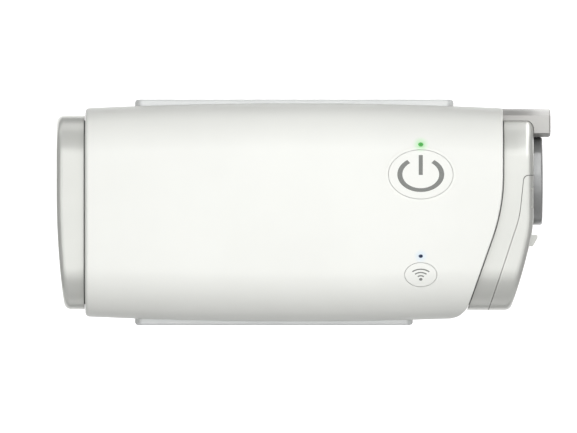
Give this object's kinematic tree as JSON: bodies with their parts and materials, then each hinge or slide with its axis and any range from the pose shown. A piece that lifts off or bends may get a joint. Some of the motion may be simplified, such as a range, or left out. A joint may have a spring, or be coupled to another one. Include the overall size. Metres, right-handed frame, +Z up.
{
  "type": "cpap machine",
  "caption": "Compact travel CPAP machine: rounded casing with side grips, filter cover at one end, air outlet and power inlet at the other, power and connect buttons on top.",
  "frame": {"origin": "centre of the footprint, on the plane the rubber feet stand on", "axes": "+X towards the air outlet end, +Y to the rear (power inlet side), +Z up through the controls"},
  "size_m": [0.1816, 0.083, 0.052],
  "materials": {
    "casing_white": "satin white moulded ABS",
    "grip_white": "fine-textured light grey grip",
    "end_silver": "satin silver-grey painted ABS",
    "collar_grey": "satin mid-grey moulded plastic",
    "inlet_grey": "moulded grey plastic",
    "frame_dark": "grey moulded nylon",
    "contact_black": "black moulded plastic",
    "rubber_dark": "matt rubber",
    "silicone": "translucent grey silicone",
    "filter_white": "white fibre pad",
    "foam_grey": "open-cell foam",
    "steel": "zinc-plated steel",
    "magnet": "sintered magnet",
    "winding": "enamelled copper wire",
    "board_green": "solder mask",
    "chip_black": "moulded package",
    "can_metal": "aluminium can",
    "impeller_clear": "moulded polycarbonate",
    "lamp_green": "green light pipe",
    "lamp_blue": "blue light pipe"
  },
  "bodies": {
    "casing": {"upper_casing": "casing_white", "lower_casing": "casing_white", "rear_side_pad": "grip_white", "front_side_pad": "grip_white", "outlet_end_cap": "end_silver", "outlet_face_panel": "end_silver", "outlet_collar": "collar_grey", "cuff_catch": "collar_grey", "outlet_port": "collar_grey", "power_inlet_housing": "inlet_grey", "power_inlet_insert": "contact_black", "power_contacts": "steel", "inlet_frame": "frame_dark", "outlet_frame": "frame_dark", "inlet_muffler": "frame_dark", "volute_lower": "frame_dark", "volute_upper": "frame_dark", "motor_cover": "frame_dark", "shaft_bearings": "steel", "stator_core": "steel", "stator_coils": "winding", "motor_board": "board_green", "main_board": "board_green", "motor_lead": "contact_black", "power_lead": "contact_black", "blower_mounts": "rubber_dark", "rubber_feet": "rubber_dark", "filter_seal": "silicone", "outlet_seal": "silicone", "outlet_bellows": "silicone", "sensor_seal": "silicone", "muffler_foam": "foam_grey", "flow_mesh": "steel", "casing_screws": "steel", "volute_screws": "steel", "board_screws": "steel", "board_chips": "chip_black", "board_connectors": "contact_black", "board_capacitors": "can_metal", "radio_module": "can_metal", "pressure_sensor": "chip_black", "power_switch": "chip_black", "connect_switch": "chip_black", "power_led": "lamp_green", "connect_led": "lamp_blue", "power_light_pipe": "lamp_green", "connect_light_pipe": "lamp_blue"},
    "power_button": {"power_button": "casing_white", "power_switch_stem": "contact_black"},
    "connect_button": {"connect_button": "casing_white", "connect_switch_stem": "contact_black"},
    "filter_cover": {"filter_cover": "end_silver", "air_filter": "filter_white"},
    "rotor": {"impeller": "impeller_clear", "rotor_shaft": "steel", "rotor_magnet": "magnet"}
  },
  "joints": [
    {"name": "power_button_press", "type": "slide", "parent": "casing", "child": "power_button", "axis": [0, 0, -1], "range_m": [0, 0.0006], "stiffness_N_per_m": 3000, "springref_m": -0.0002},
    {"name": "connect_button_press", "type": "slide", "parent": "casing", "child": "connect_button", "axis": [0, 0, -1], "range_m": [0, 0.0005], "stiffness_N_per_m": 2500, "springref_m": -0.0002},
    {"name": "filter_cover_pull", "type": "slide", "parent": "casing", "child": "filter_cover", "axis": [-1, 0, 0], "range_m": [0, 0.034]},
    {"name": "blower_spin", "type": "hinge", "parent": "casing", "child": "rotor", "pos_m": [-0.02227, -0.0075, 0.0265], "axis": [0, 0, 1], "continuous": true}
  ]
}
